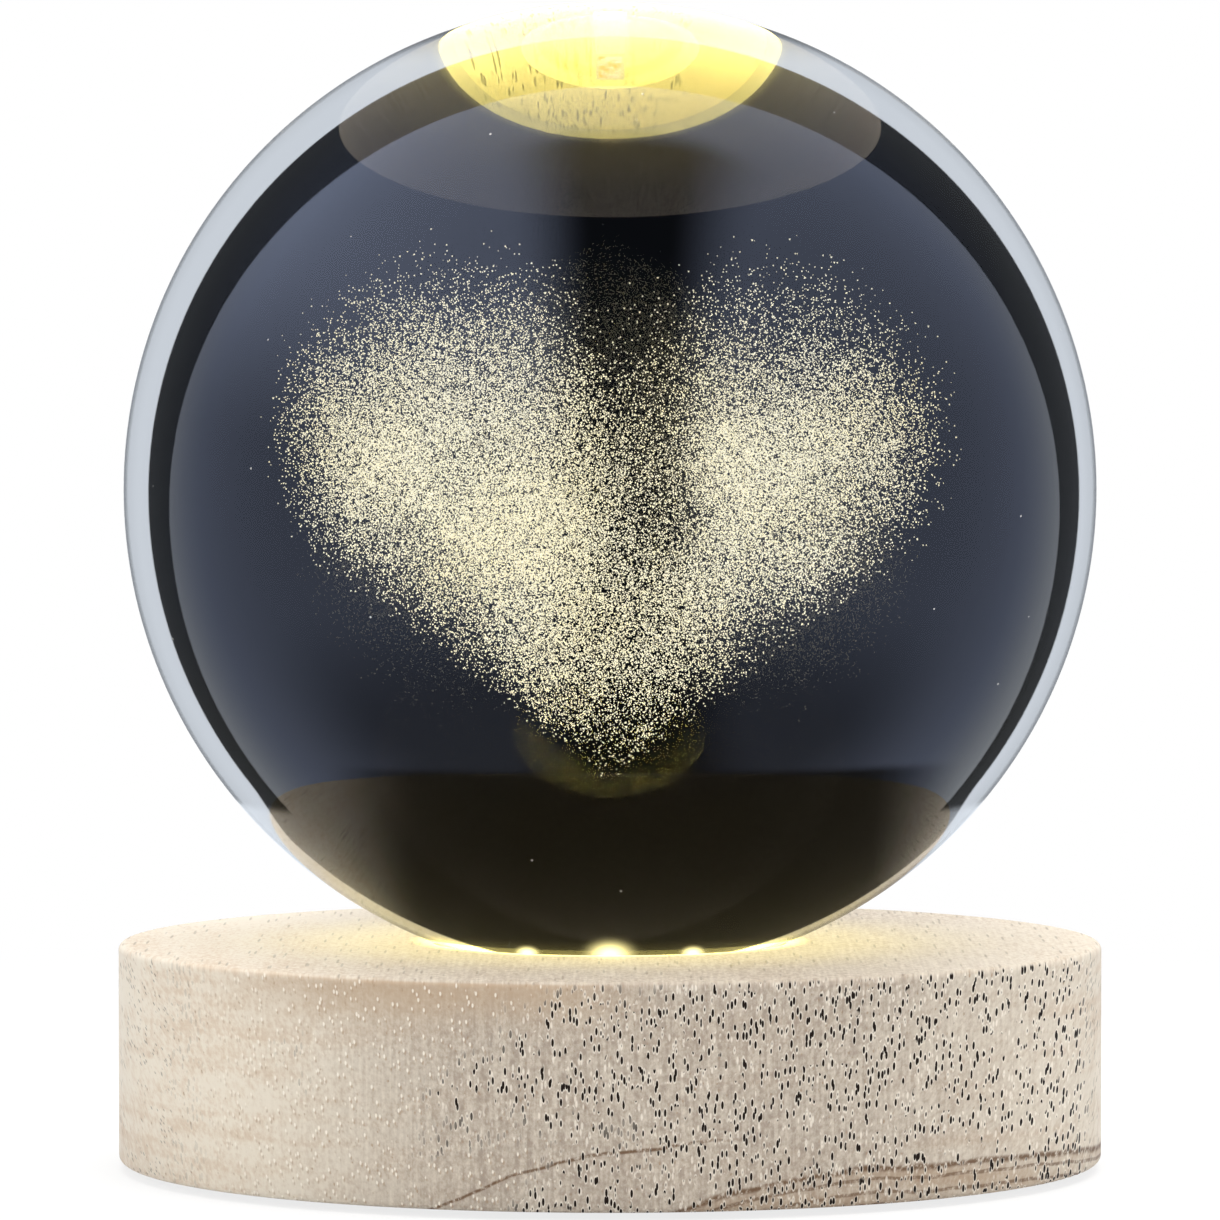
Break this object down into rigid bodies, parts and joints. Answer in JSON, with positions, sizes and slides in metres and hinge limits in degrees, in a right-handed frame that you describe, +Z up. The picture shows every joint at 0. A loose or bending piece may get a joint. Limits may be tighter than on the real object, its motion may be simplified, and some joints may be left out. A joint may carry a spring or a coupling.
{
  "type": "crystal ball lamp",
  "caption": "Table lamp: a clear glass ball with a laser-marked heart inside rests loose on a round wooden base that lights it from below; rear push switch and power socket.",
  "frame": {"origin": "on the floor under the middle of the base, at the soles of the feet", "axes": "+Z up through the ball, -Y to the front, where the heart is seen face on, +Y to the rear plate"},
  "size_m": [0.081, 0.081, 0.0958],
  "materials": {
    "clear_glass": "polished optical crystal glass",
    "marked_glass": "the same glass, frosted inside by laser points",
    "rubberwood": "sanded, thin matt oil",
    "white_board": "white solder mask",
    "white_package": "white reflector moulding",
    "yellow_window": "yellow phosphor in clear resin, lit warm white",
    "zinc_steel": "zinc plated",
    "green_board": "green solder mask",
    "nickel_shell": "nickel plated, drawn",
    "black_moulding": "moulded",
    "black_plate": "fine spark texture",
    "white_moulding": "moulded",
    "black_button": "polished, worn slightly matt",
    "resistor_black": "fired film",
    "red_insulation": "soft insulation",
    "black_insulation": "soft insulation",
    "black_cover": "fine spark texture",
    "black_steel": "black oxide",
    "grey_rubber": "soft"
  },
  "bodies": {
    "base": {"wooden_base": "rubberwood", "light_board": "white_board", "led_packages": "white_package", "led_windows": "yellow_window", "light_board_screws": "zinc_steel", "power_board": "green_board", "power_board_screws": "zinc_steel", "socket_shell": "nickel_shell", "socket_tongue": "black_moulding", "rear_plate": "black_plate", "switch_case": "black_moulding", "resistors": "resistor_black", "wire_positive": "red_insulation", "wire_negative": "black_insulation", "bottom_cover": "black_cover", "cover_screws": "black_steel", "rubber_feet": "grey_rubber"},
    "ball": {"crystal_ball": "clear_glass", "engraved_heart": "marked_glass"},
    "button": {"push_button": "black_button", "switch_plunger": "white_moulding"}
  },
  "joints": [
    {"name": "ball_lift", "type": "slide", "parent": "base", "child": "ball", "axis": [0, 0, 1], "range_m": [0, 0.03]},
    {"name": "button_press", "type": "slide", "parent": "base", "child": "button", "axis": [0, -1, 0], "range_m": [0, 0.0015], "stiffness_N_per_m": 1000}
  ]
}
